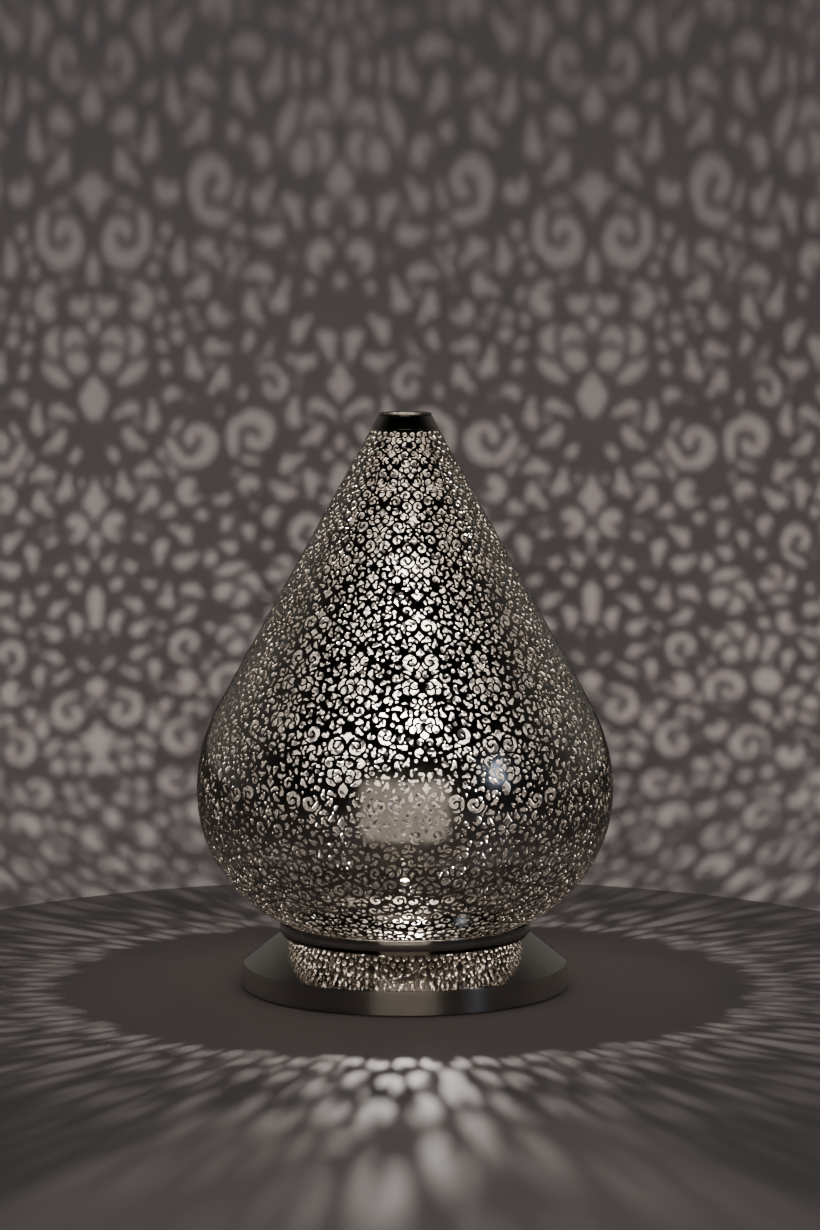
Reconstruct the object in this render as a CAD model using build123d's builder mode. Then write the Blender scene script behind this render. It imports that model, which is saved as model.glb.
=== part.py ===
from build123d import *
import os
from math import acos, atan2, cos, hypot, radians, sin, sqrt, tan

# Pierced metal table lamp: a drop-shaped shade that lifts off a spun, polished foot with an
# E14 lamp inside. Millimetres, +Z up, origin on the table at the middle of the foot, and the
# cord inlet at the back, on +Y.

# ---- Driving dimensions -------------------------------------------------------------------
# Shade: a straight cone, a shoulder arc, and a bowl arc, with upright tangents at the belly.
# The belly's height is over the hem, and the crown's is over the belly.
belly_radius = 166.0
belly_rise = 104.5
shoulder_arc = 145.0
bowl_arc = 114.0
shade_wall = 0.9
crown_rise = 290.0
crown_radius = 26.1

# Crown collar and the rolled bead on its mouth.
collar_rise = 9.8
collar_wall = 1.45
collar_proud = 0.45
bead_radius = 0.9
bead_sink = 0.2

# Foot: upright skirt, polished cone, and a flange turned in at the top.
skirt_top = 19.9
skirt_gap = 1.0
foot_wall = 1.2
cone_angle = 37.84
foot_top = 45.3
foot_lip = -3.5
flange_width = 13.4
skirt_edge = 0.7

# Gallery ring on the flange, and the plain hoop at the shade's hem that stands in it.
gallery_wall = 1.2
gallery_height = 8.0
gallery_round = 0.4
ledge_thickness = 1.0
ledge_width = 5.3
hem_rise = 7.2
hem_wall = 1.4
hem_gap = 1.74

# Deck plate that carries the lampholder.
deck_thickness = 1.5
deck_gap = 0.6
deck_screw_count = 3
deck_screw_inset = 6.7
screw_start_angle = 30.0

# Pan-head screws.
screw_radius = 1.5
screw_head_radius = 2.9
screw_head_height = 1.7
screw_head_round = 0.8
screw_slot_length = 4.06
screw_slot_width = 0.7
screw_slot_depth = 0.7
screw_clearance = 0.1
screw_length = 7.0

# Bottom cover, its brackets, and the rubber feet.
cover_bottom = 2.5
cover_thickness = 1.5
cover_gap = 0.4
bracket_count = 3
bracket_sweep = 6.0
bracket_height = 10.0
bracket_depth = 15.0
bracket_sheet = 1.2
bracket_gap = 0.1
cover_screw_inset = 8.5
rubber_foot_count = 4
rubber_foot_radius = 9.0
rubber_foot_inset = 24.0
rubber_foot_round = 0.6
rubber_foot_start_angle = 45.0

# Cord inlet: a bush through the back of the skirt, held by a nut inside.
inlet_height = 11.7
inlet_bore_radius = 3.2
inlet_barrel_wall = 1.3
inlet_barrel_length = 6.0
inlet_flange_width = 1.5
inlet_flange_thickness = 1.6
inlet_flange_round = 0.7
inlet_nut_width = 1.9
inlet_nut_thickness = 2.5
inlet_clearance = 0.1

# E14 lampholder.
holder_proud = 6.2
holder_height = 47.4
holder_cap_height = 12.4
holder_radius = 13.9
holder_wall = 1.5
holder_mouth_depth = 8.5
holder_mouth_wall = 1.7
holder_entry_radius = 5.0
ring_nut_radius = 19.0
ring_nut_height = 5.0
ring_nut_notch_count = 24
ring_nut_notch_radius = 0.7
ring_nut_clearance = 0.05
deck_hole_clearance = 0.4
shell_clearance = 0.3
shell_wall = 0.5
shell_rise = 21.4
block_rise = 13.9
block_height = 4.1
block_clearance = 0.1
contact_width = 4.0
contact_sheet = 0.4
contact_foot = 4.0
contact_crest = 1.6
contact_slant = 1.0
terminal_offset = 8.0
terminal_head_radius = 2.0
terminal_head_height = 1.3
terminal_shank_radius = 1.2
terminal_shank_length = 3.28

# Clear candle lamp in the holder, screwed home. The glass's shape is shares of its radius and
# height, between its neck and its tip.
lamp_rise = 19.4
lamp_contact_radius = 2.4
lamp_contact_height = 1.0
insulator_height = 2.5
insulator_inset = 1.3
insulator_rim = 0.4
lamp_cap_radius = 6.9
lamp_cap_wall = 0.3
lamp_cap_shoulder = 1.0
lamp_cap_length = 22.0
glass_radius = 17.5
glass_height = 76.0
glass_shape = ((0.60, 0.15), (1.0, 0.48), (0.72, 0.77))
glass_wall = 0.8
glass_neck_inset = 0.6
glass_neck_depth = 3.0
stem_radius = 2.6
stem_height = 16.0
flare_gap = 0.5
flare_thickness = 1.0
flare_clearance = 0.1
flare_spread = 1.0
flare_blend = 2.0
lead_spread = 1.2
lead_rise = 4.0
lead_top_run = 8.0
lead_bend = 2.0
lead_radius = 0.4
filament_rise = 60.0
filament_radius = 0.9
filament_length = 9.0
filament_wire = 0.35

# Earth screw and nut in the deck plate.
earth_radius = 62.0
earth_angle = 205.0
earth_nut_radius = 3.4
earth_nut_height = 2.6

# ---- Derived places -----------------------------------------------------------------------
ledge_top = foot_top + ledge_thickness
hem_height = ledge_top + hem_rise
belly_height = hem_height + belly_rise
crown_height = belly_height + crown_rise

shoulder_centre = belly_radius - shoulder_arc
bowl_centre = belly_radius - bowl_arc
crown_reach = hypot(crown_radius - shoulder_centre, crown_height - belly_height)
crown_bearing = atan2(crown_height - belly_height, crown_radius - shoulder_centre)
cone_normal = crown_bearing - acos(shoulder_arc / crown_reach)
cone_slope = tan(cone_normal)

hem_radius = bowl_centre + sqrt(bowl_arc**2 - belly_rise**2)
gallery_bore = hem_radius + hem_gap
gallery_radius = gallery_bore + gallery_wall
ledge_inner_radius = gallery_bore - ledge_width
cone_top_radius = gallery_radius + foot_lip
foot_radius = cone_top_radius + (foot_top - skirt_top) / tan(radians(cone_angle))
skirt_bore = foot_radius - foot_wall

deck_radius = ledge_inner_radius - deck_gap
flange_inner_radius = deck_radius - flange_width
deck_top = foot_top + deck_thickness
deck_screw_circle = deck_radius - deck_screw_inset
cover_radius = skirt_bore - cover_gap
cover_top = cover_bottom + cover_thickness
cover_screw_circle = skirt_bore - cover_screw_inset
rubber_foot_circle = cover_radius - rubber_foot_inset

inlet_barrel_radius = inlet_bore_radius + inlet_barrel_wall
inlet_flange_radius = inlet_barrel_radius + inlet_flange_width
inlet_nut_radius = inlet_barrel_radius + inlet_nut_width

holder_top = deck_top + holder_proud
holder_bottom = holder_top - holder_height
holder_split = holder_bottom + holder_cap_height
holder_bore = holder_radius - holder_wall
holder_mouth_radius = holder_radius - holder_mouth_wall
mouth_floor = holder_top - holder_mouth_depth
shell_bore_radius = lamp_cap_radius + shell_clearance
shell_outer_radius = shell_bore_radius + shell_wall
shell_bottom = holder_bottom + shell_rise
block_bottom = holder_bottom + block_rise
block_top = block_bottom + block_height
block_radius = holder_bore - block_clearance
lamp_bottom = holder_bottom + lamp_rise
lamp_cap_top = lamp_bottom + lamp_cap_length
insulator_bottom = lamp_bottom + lamp_contact_height
insulator_radius = lamp_cap_radius - insulator_inset
lamp_cap_bottom = insulator_bottom + insulator_height
glass_neck_radius = lamp_cap_radius - glass_neck_inset
glass_bottom = lamp_cap_top - glass_neck_depth
glass_top = lamp_cap_top + glass_height
stem_top = glass_bottom + stem_height
filament_height = lamp_bottom + filament_rise


# ---- Profile helpers ----------------------------------------------------------------------
def turned(*points):
    """Half-section of a turned piece: straight lines through (radius, height) points."""
    with BuildSketch(Plane.XZ) as section:
        with BuildLine():
            Polyline(*points, close=True)
        make_face()
    return section.sketch


def arc_radius(centre, radius, height):
    """Distance from the axis of a shade arc at a height below or above the belly."""
    return centre + sqrt(radius**2 - (height - belly_height) ** 2)


def shade_skin(inset):
    """Draw the shade's outline from crown to hem, moved inwards by inset."""
    shoulder = shoulder_arc - inset
    bowl = bowl_arc - inset
    tangent = (
        shoulder_centre + shoulder * cos(cone_normal),
        belly_height + shoulder * sin(cone_normal),
    )
    crown = (crown_radius - inset / cos(cone_normal), crown_height)
    hem = (arc_radius(bowl_centre, bowl, hem_height), hem_height)
    belly = (belly_radius - inset, belly_height)
    Line(crown, tangent)
    RadiusArc(tangent, belly, shoulder)
    RadiusArc(belly, hem, bowl)
    return crown, hem


def glass_skin(inset):
    """Draw the candle glass's outline from neck to tip, moved inwards by inset."""
    neck = (glass_neck_radius - inset, glass_bottom)
    collar = (glass_neck_radius - inset, lamp_cap_top)
    tip = (0, glass_top - inset)
    Line(neck, collar)
    swell = [
        (out * glass_radius - inset, lamp_cap_top + up * glass_height) for out, up in glass_shape
    ]
    Spline(collar, *swell, tip, tangents=((0, 1), (-1, 0)))
    return neck, tip


def pan_screw(length):
    """Pan-head screw with its head's seat on z = 0 and its shank pointing down."""
    with BuildPart() as screw:
        with BuildSketch():
            Circle(screw_head_radius)
        extrude(amount=screw_head_height)
        fillet(screw.faces().sort_by(Axis.Z)[-1].edges(), screw_head_round)
        with BuildSketch(Plane.XY.offset(screw_head_height)):
            SlotOverall(screw_slot_length, screw_slot_width)
        extrude(amount=-screw_slot_depth, mode=Mode.SUBTRACT)
        with BuildSketch():
            Circle(screw_radius)
        extrude(amount=-length)
    return screw.part


os.makedirs("parts", exist_ok=True)


def write(piece, name):
    """Label a finished piece and write it as its own node."""
    piece.label = name
    export_step(piece, "parts/" + name + ".step")


# ---- Shade: lifts off as one ---------------------------------------------------------------
# The shade's sheet is one spun shell. Its piercing is finer than the sheet's structure needs.
with BuildPart() as pierced_shade:
    with BuildSketch(Plane.XZ):
        with BuildLine():
            outer_crown, outer_hem = shade_skin(0)
            inner_crown, inner_hem = shade_skin(shade_wall)
            Line(outer_crown, inner_crown)
            Line(outer_hem, inner_hem)
        make_face()
    revolve(axis=Axis.Z)
write(pierced_shade.part, "pierced_shade")

# Plain hoop soldered under the hem, which stands on the gallery ring's ledge.
with BuildPart() as hem_band:
    with BuildSketch(Plane.XY.offset(ledge_top)):
        Circle(hem_radius)
        Circle(hem_radius - hem_wall, mode=Mode.SUBTRACT)
    extrude(amount=hem_height - ledge_top)
write(hem_band.part, "hem_band")

collar_foot_radius = crown_radius + collar_proud
collar_top = crown_height + collar_rise
collar_top_radius = collar_foot_radius - collar_rise * cone_slope
with BuildPart() as crown_collar:
    revolve(
        turned(
            (collar_foot_radius, crown_height),
            (collar_top_radius, collar_top),
            (collar_top_radius - collar_wall, collar_top),
            (collar_foot_radius - collar_wall, crown_height),
        ),
        axis=Axis.Z,
    )
write(crown_collar.part, "crown_collar")

# Bead: a round wire with a flat filed on it, where it is soldered to the collar's mouth.
bead_circle = collar_top_radius - collar_wall / 2
with BuildPart() as crown_bead:
    with BuildSketch(Plane.XZ):
        with Locations((bead_circle, collar_top + bead_radius - bead_sink)):
            Circle(bead_radius)
        with Locations((bead_circle, collar_top)):
            Rectangle(
                2 * bead_radius,
                2 * bead_radius,
                align=(Align.CENTER, Align.MAX),
                mode=Mode.SUBTRACT,
            )
    revolve(axis=Axis.Z)
write(crown_bead.part, "crown_bead")

# ---- Foot ---------------------------------------------------------------------------------
cone_run = tan(radians(cone_angle))
cone_back = foot_wall / cos(radians(cone_angle))
inner_corner_height = skirt_top + foot_wall * cone_run - cone_back
inner_crest_radius = foot_radius - (foot_top - foot_wall - skirt_top + cone_back) / cone_run

with BuildPart() as foot:
    revolve(
        turned(
            (foot_radius, skirt_gap),
            (foot_radius, skirt_top),
            (cone_top_radius, foot_top),
            (flange_inner_radius, foot_top),
            (flange_inner_radius, foot_top - foot_wall),
            (inner_crest_radius, foot_top - foot_wall),
            (skirt_bore, inner_corner_height),
            (skirt_bore, skirt_gap),
        ),
        axis=Axis.Z,
    )
    widest_edges = foot.edges().filter_by(GeomType.CIRCLE).group_by(SortBy.RADIUS)[-1]
    fillet(widest_edges.sort_by(Axis.Z)[-1], skirt_edge)
    with Locations(Plane.XY.offset(foot_top)):
        with PolarLocations(deck_screw_circle, deck_screw_count, start_angle=screw_start_angle):
            Hole(screw_radius + screw_clearance, depth=foot_wall)
    with BuildSketch(Plane.XZ.offset(-foot_radius)):
        with Locations((0, inlet_height)):
            Circle(inlet_barrel_radius + inlet_clearance)
    extrude(amount=inlet_barrel_length, both=True, mode=Mode.SUBTRACT)
write(foot.part, "foot")

with BuildPart() as gallery_ring:
    revolve(
        turned(
            (ledge_inner_radius, foot_top),
            (gallery_radius, foot_top),
            (gallery_radius, foot_top + gallery_height),
            (gallery_bore, foot_top + gallery_height),
            (gallery_bore, ledge_top),
            (ledge_inner_radius, ledge_top),
        ),
        axis=Axis.Z,
    )
    fillet(gallery_ring.faces().sort_by(Axis.Z)[-1].edges(), gallery_round)
write(gallery_ring.part, "gallery_ring")

deck_hole_radius = holder_radius + deck_hole_clearance
with BuildPart() as deck_plate:
    with BuildSketch(Plane.XY.offset(foot_top)):
        Circle(deck_radius)
        Circle(deck_hole_radius, mode=Mode.SUBTRACT)
        with PolarLocations(deck_screw_circle, deck_screw_count, start_angle=screw_start_angle):
            Circle(screw_radius + screw_clearance, mode=Mode.SUBTRACT)
        with PolarLocations(earth_radius, 1, start_angle=earth_angle):
            Circle(screw_radius + screw_clearance, mode=Mode.SUBTRACT)
    extrude(amount=deck_thickness)
write(deck_plate.part, "deck_plate")

with BuildPart() as deck_screws:
    with Locations(Plane.XY.offset(deck_top)):
        with PolarLocations(deck_screw_circle, deck_screw_count, start_angle=screw_start_angle):
            add(pan_screw(screw_length))
write(deck_screws.part, "deck_screws")

# Earth screw through the deck, with its nut under the plate.
with BuildPart() as earth_screw:
    with Locations(Plane.XY.offset(deck_top)):
        with PolarLocations(earth_radius, 1, start_angle=earth_angle):
            add(pan_screw(screw_length))
write(earth_screw.part, "earth_screw")

with BuildPart() as earth_nut:
    with BuildSketch(Plane.XY.offset(foot_top)):
        with PolarLocations(earth_radius, 1, start_angle=earth_angle):
            RegularPolygon(earth_nut_radius, 6)
            Circle(screw_radius + screw_clearance, mode=Mode.SUBTRACT)
    extrude(amount=-earth_nut_height)
write(earth_nut.part, "earth_nut")

# ---- Bottom cover and feet ----------------------------------------------------------------
with BuildPart() as base_cover:
    with BuildSketch(Plane.XY.offset(cover_bottom)):
        Circle(cover_radius)
        with PolarLocations(cover_screw_circle, bracket_count, start_angle=screw_start_angle):
            Circle(screw_radius + screw_clearance, mode=Mode.SUBTRACT)
    extrude(amount=cover_thickness)
write(base_cover.part, "base_cover")

# Angle brackets soldered inside the skirt take the cover's screws.
bracket_outer = skirt_bore - bracket_gap
with BuildPart() as bracket:
    revolve(
        turned(
            (bracket_outer, cover_top),
            (bracket_outer, cover_top + bracket_height),
            (bracket_outer - bracket_sheet, cover_top + bracket_height),
            (bracket_outer - bracket_sheet, cover_top + bracket_sheet),
            (bracket_outer - bracket_depth, cover_top + bracket_sheet),
            (bracket_outer - bracket_depth, cover_top),
        ).rotate(Axis.Z, -bracket_sweep / 2),
        axis=Axis.Z,
        revolution_arc=bracket_sweep,
    )
    with Locations(Pos(cover_screw_circle, 0, cover_top + bracket_sheet)):
        Hole(screw_radius + screw_clearance, depth=2 * bracket_sheet)
with BuildPart() as cover_brackets:
    with PolarLocations(0, bracket_count, start_angle=screw_start_angle):
        add(bracket.part)
write(cover_brackets.part, "cover_brackets")

with BuildPart() as cover_screws:
    with Locations(Plane.XY.offset(cover_bottom)):
        with PolarLocations(cover_screw_circle, bracket_count, start_angle=screw_start_angle):
            add(pan_screw(screw_length), rotation=(180, 0, 0))
write(cover_screws.part, "cover_screws")

with BuildPart() as rubber_feet:
    with BuildSketch():
        with PolarLocations(rubber_foot_circle, rubber_foot_count, start_angle=rubber_foot_start_angle):
            Circle(rubber_foot_radius)
    extrude(amount=cover_bottom)
    fillet(rubber_feet.faces().sort_by(Axis.Z)[:rubber_foot_count].edges(), rubber_foot_round)
write(rubber_feet.part, "rubber_feet")

# ---- Cord inlet ---------------------------------------------------------------------------
inlet_axis = Plane((0, foot_radius, inlet_height), x_dir=(1, 0, 0), z_dir=(0, 1, 0))
with BuildPart() as inlet_bush:
    with BuildSketch(inlet_axis):
        Circle(inlet_flange_radius)
    extrude(amount=inlet_flange_thickness)
    fillet(inlet_bush.faces().sort_by(Axis.Y)[-1].edges(), inlet_flange_round)
    with BuildSketch(inlet_axis):
        Circle(inlet_barrel_radius)
    extrude(amount=-inlet_barrel_length)
    with BuildSketch(inlet_axis.offset(inlet_flange_thickness)):
        Circle(inlet_bore_radius)
    extrude(amount=-(inlet_barrel_length + inlet_flange_thickness), mode=Mode.SUBTRACT)
write(inlet_bush.part, "inlet_bush")

nut_seat = foot_wall + inlet_nut_radius**2 / skirt_bore
with BuildPart() as inlet_nut:
    with BuildSketch(inlet_axis.offset(-nut_seat)):
        RegularPolygon(inlet_nut_radius, 6)
        Circle(inlet_barrel_radius + inlet_clearance, mode=Mode.SUBTRACT)
    extrude(amount=-inlet_nut_thickness)
write(inlet_nut.part, "inlet_nut")

# ---- Lampholder ---------------------------------------------------------------------------
with BuildPart() as holder_cap:
    revolve(
        turned(
            (holder_entry_radius, holder_bottom),
            (holder_radius - holder_wall, holder_bottom),
            (holder_radius, holder_bottom + holder_wall),
            (holder_radius, holder_split),
            (holder_bore, holder_split),
            (holder_bore, holder_bottom + holder_wall),
            (holder_entry_radius, holder_bottom + holder_wall),
        ),
        axis=Axis.Z,
    )
write(holder_cap.part, "holder_cap")

socket_bore = shell_outer_radius + block_clearance
socket_floor = block_top + holder_wall
with BuildPart() as holder_body:
    revolve(
        turned(
            (holder_radius, holder_split),
            (holder_radius, holder_top),
            (holder_mouth_radius, holder_top),
            (holder_mouth_radius, mouth_floor),
            (socket_bore, mouth_floor),
            (socket_bore, socket_floor),
            (holder_bore, socket_floor),
            (holder_bore, holder_split),
        ),
        axis=Axis.Z,
    )
write(holder_body.part, "holder_body")


def ring_nut(bottom):
    """Knurled ring nut on the holder's outside thread, with grip notches round it."""
    with BuildPart() as nut:
        with BuildSketch(Plane.XY.offset(bottom)):
            Circle(ring_nut_radius)
            Circle(holder_radius + ring_nut_clearance, mode=Mode.SUBTRACT)
            with PolarLocations(ring_nut_radius, ring_nut_notch_count):
                Circle(ring_nut_notch_radius, mode=Mode.SUBTRACT)
        extrude(amount=ring_nut_height)
    return nut.part


write(ring_nut(deck_top), "upper_ring_nut")
write(ring_nut(foot_top - ring_nut_height), "lower_ring_nut")

with BuildPart() as contact_block:
    with BuildSketch(Plane.XY.offset(block_bottom)):
        Circle(block_radius)
        with Locations((terminal_offset, 0), (-terminal_offset, 0)):
            Circle(terminal_shank_radius + block_clearance, mode=Mode.SUBTRACT)
    extrude(amount=block_height)
write(contact_block.part, "contact_block")

with BuildPart() as terminal_screws:
    with BuildSketch(Plane.XY.offset(block_bottom)):
        with Locations((terminal_offset, 0), (-terminal_offset, 0)):
            Circle(terminal_head_radius)
    extrude(amount=-terminal_head_height)
    with BuildSketch(Plane.XY.offset(block_bottom)):
        with Locations((terminal_offset, 0), (-terminal_offset, 0)):
            Circle(terminal_shank_radius)
    extrude(amount=terminal_shank_length)
write(terminal_screws.part, "terminal_screws")

with BuildPart() as thread_shell:
    with BuildSketch(Plane.XY.offset(shell_bottom)):
        Circle(shell_outer_radius)
        Circle(shell_bore_radius, mode=Mode.SUBTRACT)
    extrude(amount=mouth_floor - shell_bottom)
write(thread_shell.part, "thread_shell")

# Centre contact: a bent spring leaf whose flat crest meets the lamp's contact.
crest_height = lamp_bottom - contact_sheet / 2
leaf_base = block_top + contact_sheet / 2
with BuildPart() as centre_contact:
    with BuildSketch(Plane.XZ):
        with BuildLine():
            Polyline(
                (-contact_foot - contact_crest, leaf_base),
                (-contact_crest - contact_slant, leaf_base),
                (-contact_crest, crest_height),
                (contact_crest, crest_height),
                (contact_crest + contact_slant, leaf_base + contact_sheet),
            )
            offset(amount=contact_sheet / 2, kind=Kind.INTERSECTION)
        make_face()
    extrude(amount=contact_width / 2, both=True)
write(centre_contact.part, "centre_contact")

# ---- Lamp ---------------------------------------------------------------------------------
with BuildPart() as lamp_glass:
    with BuildSketch(Plane.XZ):
        with BuildLine():
            outer_neck, outer_tip = glass_skin(0)
            inner_neck, inner_tip = glass_skin(glass_wall)
            Line(outer_neck, inner_neck)
            Line(outer_tip, inner_tip)
        make_face()
    revolve(axis=Axis.Z)
write(lamp_glass.part, "lamp_glass")

cap_bore = lamp_cap_radius - lamp_cap_wall
with BuildPart() as lamp_cap:
    revolve(
        turned(
            (insulator_radius, lamp_cap_bottom),
            (lamp_cap_radius, lamp_cap_bottom + lamp_cap_shoulder),
            (lamp_cap_radius, lamp_cap_top),
            (cap_bore, lamp_cap_top),
            (cap_bore, lamp_cap_bottom + lamp_cap_shoulder),
            (insulator_radius - lamp_cap_wall, lamp_cap_bottom),
        ),
        axis=Axis.Z,
    )
write(lamp_cap.part, "lamp_cap")

with BuildPart() as lamp_insulator:
    revolve(
        turned(
            (0, insulator_bottom),
            (lamp_contact_radius + insulator_rim, insulator_bottom),
            (insulator_radius, lamp_cap_bottom),
            (0, lamp_cap_bottom),
        ),
        axis=Axis.Z,
    )
write(lamp_insulator.part, "lamp_insulator")

with BuildPart() as lamp_contact:
    with BuildSketch(Plane.XY.offset(lamp_bottom)):
        Circle(lamp_contact_radius)
    extrude(amount=lamp_contact_height)
write(lamp_contact.part, "lamp_contact")

# Glass stem: a foot seated in the cap, then a pinched rod that holds the lead wires.
flare_top = glass_bottom - flare_gap
flare_bottom = flare_top - flare_thickness
with BuildPart() as lamp_stem:
    revolve(
        turned(
            (0, flare_bottom),
            (cap_bore - flare_clearance, flare_bottom),
            (cap_bore - flare_clearance, flare_top),
            (stem_radius + flare_spread, flare_top),
            (stem_radius, flare_top + flare_blend),
            (stem_radius, stem_top),
            (0, stem_top),
        ),
        axis=Axis.Z,
    )
write(lamp_stem.part, "lamp_stem")

half_filament = filament_length / 2
filament_plane = Plane((0, 0, filament_height), x_dir=(0, 1, 0), z_dir=(1, 0, 0))
with BuildPart() as lead_wires:
    for side in (-1, 1):
        with BuildLine() as wire:
            FilletPolyline(
                (side * lead_spread, 0, stem_top),
                (side * lead_spread, 0, stem_top + lead_rise),
                (side * half_filament, 0, filament_height - lead_top_run),
                (side * half_filament, 0, filament_height),
                radius=lead_bend,
            )
        with BuildSketch(Plane.XY.offset(stem_top)):
            with Locations((side * lead_spread, 0)):
                Circle(lead_radius)
        sweep(path=wire.line)
write(lead_wires.part, "lead_wires")

# Coiled filament, as the hollow sleeve that its turns fill, between the two lead wires.
with BuildPart() as filament:
    with BuildSketch(filament_plane):
        Circle(filament_radius)
        Circle(filament_radius - filament_wire, mode=Mode.SUBTRACT)
    extrude(amount=half_filament - lead_radius, both=True)
write(filament.part, "filament")

print("crown bead top", round(collar_top + 2 * bead_radius - bead_sink, 2))
print("hem radius", round(hem_radius, 2), "cone top radius", round(cone_top_radius, 2))
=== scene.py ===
import math

import bmesh
import bpy
import numpy as np
from mathutils import Matrix, Vector


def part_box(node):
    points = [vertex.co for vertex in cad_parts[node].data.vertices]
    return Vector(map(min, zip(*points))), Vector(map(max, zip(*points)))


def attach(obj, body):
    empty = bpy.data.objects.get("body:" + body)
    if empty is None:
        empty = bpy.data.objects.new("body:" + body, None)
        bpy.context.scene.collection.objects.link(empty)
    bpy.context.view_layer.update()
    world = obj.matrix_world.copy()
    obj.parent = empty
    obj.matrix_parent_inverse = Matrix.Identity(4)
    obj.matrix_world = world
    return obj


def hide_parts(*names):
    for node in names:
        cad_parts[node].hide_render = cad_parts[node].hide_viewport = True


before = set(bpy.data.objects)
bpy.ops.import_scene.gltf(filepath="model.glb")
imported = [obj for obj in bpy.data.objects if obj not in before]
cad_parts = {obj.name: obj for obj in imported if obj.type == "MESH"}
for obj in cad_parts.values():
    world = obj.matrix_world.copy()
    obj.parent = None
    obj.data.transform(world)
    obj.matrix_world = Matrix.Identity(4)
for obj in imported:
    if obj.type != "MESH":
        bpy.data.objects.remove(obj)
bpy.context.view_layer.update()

MM = 0.001


def corners(node):
    """A CAD node's lowest and highest corners, in millimetres."""
    low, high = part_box(node)
    return [c / MM for c in low], [c / MM for c in high]


# ---- The shade's outline, in millimetres ----------------------------------------------------
# From the crown down: a straight cone, a shoulder arc to the belly, and a bowl arc to the hem.
shade_low, shade_high = corners("pierced_shade")
BELLY_RADIUS = shade_high[0]
HEM_HEIGHT = shade_low[2]
CROWN_HEIGHT = shade_high[2]
BELLY_HEIGHT = 158.0
SHOULDER_ARC = 145.0
BOWL_ARC = 114.0
CROWN_RADIUS = 26.1
SHEET = 0.9

shoulder_centre = BELLY_RADIUS - SHOULDER_ARC
bowl_centre = BELLY_RADIUS - BOWL_ARC
crown_out = CROWN_RADIUS - shoulder_centre
crown_up = CROWN_HEIGHT - BELLY_HEIGHT
cone_normal = math.atan2(crown_up, crown_out) - math.acos(SHOULDER_ARC / math.hypot(crown_out, crown_up))
cone_foot_radius = shoulder_centre + SHOULDER_ARC * math.cos(cone_normal)
cone_foot_height = BELLY_HEIGHT + SHOULDER_ARC * math.sin(cone_normal)
CONE_LENGTH = math.hypot(cone_foot_radius - CROWN_RADIUS, cone_foot_height - CROWN_HEIGHT)
SHOULDER_LENGTH = SHOULDER_ARC * cone_normal
BOWL_LENGTH = BOWL_ARC * math.asin((BELLY_HEIGHT - HEM_HEIGHT) / BOWL_ARC)
SKIN_LENGTH = CONE_LENGTH + SHOULDER_LENGTH + BOWL_LENGTH


def outline(way):
    """Radius and height at a way, the length down the shade's skin from the crown."""
    way = np.asarray(way, float)
    share = way / CONE_LENGTH
    shoulder = cone_normal - (way - CONE_LENGTH) / SHOULDER_ARC
    bowl = (way - CONE_LENGTH - SHOULDER_LENGTH) / BOWL_ARC
    on_cone = way < CONE_LENGTH
    on_shoulder = way < CONE_LENGTH + SHOULDER_LENGTH
    radius = np.where(
        on_cone,
        CROWN_RADIUS + (cone_foot_radius - CROWN_RADIUS) * share,
        np.where(on_shoulder, shoulder_centre + SHOULDER_ARC * np.cos(shoulder),
                 bowl_centre + BOWL_ARC * np.cos(bowl)),
    )
    height = np.where(
        on_cone,
        CROWN_HEIGHT + (cone_foot_height - CROWN_HEIGHT) * share,
        np.where(on_shoulder, BELLY_HEIGHT + SHOULDER_ARC * np.sin(shoulder),
                 BELLY_HEIGHT - BOWL_ARC * np.sin(bowl)),
    )
    return radius, height


# The pattern is drawn on a flat map of one half of a repeat: across is the angle from the
# repeat's middle, and down is a stretched height that keeps every shape true. A length on the
# map times the radius there is a length on the metal.
REPEATS = 8
HALF = math.pi / REPEATS
ways = np.linspace(0, SKIN_LENGTH, 2001)
way_radius, way_height = outline(ways)
way_down = np.concatenate([[0], np.cumsum(2 * np.diff(ways) / (way_radius[1:] + way_radius[:-1]))])


def down_at_way(way):
    return np.interp(way, ways, way_down)


def down_at_height(height):
    return float(np.interp(-height, -way_height, way_down))


def way_at(down):
    return np.interp(down, way_down, ways)


def radius_at(down):
    return np.interp(down, way_down, way_radius)


# ---- The tracery: long lines first, then scrolls packed between them ---------------------------
PLAIN_EDGE = 1.6
NARROWEST = 0.4
PACK_ACROSS = 84
PACK_DOWN = 1000
pack_across, pack_down = np.meshgrid(
    np.linspace(0, HALF, PACK_ACROSS), np.linspace(0, way_down[-1], PACK_DOWN))
pack_radius = radius_at(pack_down)
pack_way = way_at(pack_down)

# Widest scroll at places down the skin, and half the width of a strand there.
PLACES = [0, 30, 60, 90, 160, 180, 330, 400, SKIN_LENGTH]
SCROLL_SIZES = [2.5, 3.8, 4.7, 5.6, 6.9, 7.3, 7.7, 5.8, 3.1]
STRAND_HALF = [0.54, 0.60, 0.64, 0.68, 0.76, 0.77, 0.80, 0.70, 0.54]
SIZE_STEPS = (1.0, 0.84, 0.7, 0.58, 0.48, 0.4, 0.33, 0.27)
SMALLEST = 2.5
# Scrolls above these sizes are wheels or sprigs, curls, and commas, and the rest are drops.
WHEEL_FROM = 6.2
SPRIG_FROM = 5.2
CURL_FROM = 4.6
COMMA_FROM = 2.9
WHEEL_LEAVES = 3

room = np.minimum(pack_way - PLAIN_EDGE, SKIN_LENGTH - PLAIN_EDGE - pack_way)
second_room = np.full(room.shape, 1e9)
scrolls = []
lines = []
strokes = []


def keep_off(distance):
    """Count one more line or scroll that later scrolls keep off, by the distance to it."""
    global room, second_room
    second_room = np.minimum(second_room, np.maximum(room, distance))
    room = np.minimum(room, distance)


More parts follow.
